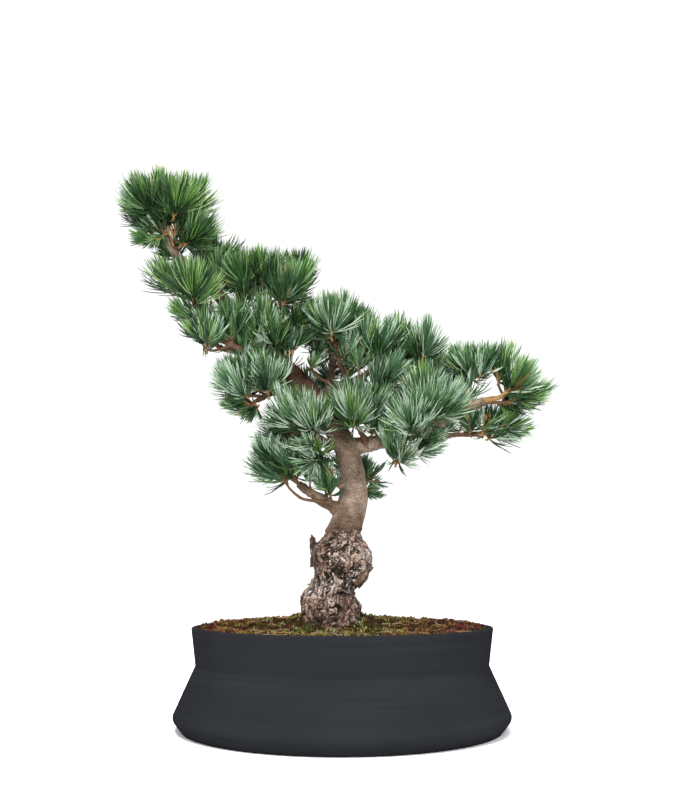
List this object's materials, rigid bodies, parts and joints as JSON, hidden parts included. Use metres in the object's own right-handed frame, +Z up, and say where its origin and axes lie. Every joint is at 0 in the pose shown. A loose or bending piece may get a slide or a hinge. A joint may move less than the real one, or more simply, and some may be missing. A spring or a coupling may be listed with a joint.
{
  "type": "japanese white pine bonsai",
  "caption": "Japanese white pine bonsai leaning to the left, with rough old bark below the graft and blue-green needle sprays, in a round flared dark ceramic pot.",
  "frame": {"origin": "centre of the pot's flat underside", "axes": "+Z up, +X to the right and +Y away from the viewer when the tree is seen from its front, with its trunk leaning to the left"},
  "size_m": [0.5307, 0.378, 0.66],
  "materials": {
    "pot_clay": "matte",
    "moss": "matte",
    "old_bark": "rough",
    "bark": "rough",
    "needles": "satin"
  },
  "bodies": {
    "root": {"pot": "pot_clay", "soil": "moss", "trunk": "old_bark", "bough_low_left": "bark", "limb_low_inner": "bark", "bough_low_back": "bark", "bough_right": "bark", "bough_right_low": "bark", "limb_fork": "bark", "limb_mid": "bark", "limb_front": "bark", "limb_under": "bark", "limb_rise": "bark", "bough_back_right": "bark", "bough_upper_right": "bark", "limb_centre": "bark", "bough_left_mid": "bark", "limb_left_mid": "bark", "bough_left_centre": "bark", "limb_left_front": "bark", "bough_left_up": "bark", "limb_left_tip": "bark", "limb_left_rise": "bark", "limb_left_out": "bark", "limb_crown_back": "bark", "limb_crown_right": "bark", "limb_crown_low": "bark", "bough_back_mid": "bark", "bough_back_left": "bark", "limb_back_up": "bark", "mass_low_left": "needles", "mass_low_inner": "needles", "mass_low_back": "needles", "mass_left_centre": "needles", "mass_left_front": "needles", "mass_left_mid": "needles", "mass_left_high": "needles", "mass_left_up": "needles", "mass_left_tip": "needles", "mass_crown_front": "needles", "mass_crown_left": "needles", "mass_crown_back": "needles", "mass_crown_right": "needles", "mass_crown_low": "needles", "mass_apex_top": "needles", "mass_apex_right": "needles", "mass_centre_top": "needles", "mass_upper_right": "needles", "mass_right_top": "needles", "mass_fork": "needles", "mass_mid": "needles", "mass_front": "needles", "mass_under": "needles", "mass_right_low": "needles", "mass_right_up": "needles", "mass_right_out": "needles", "mass_back_mid": "needles", "mass_back_left": "needles", "mass_back_up": "needles", "mass_back_right": "needles"}
  },
  "joints": []
}
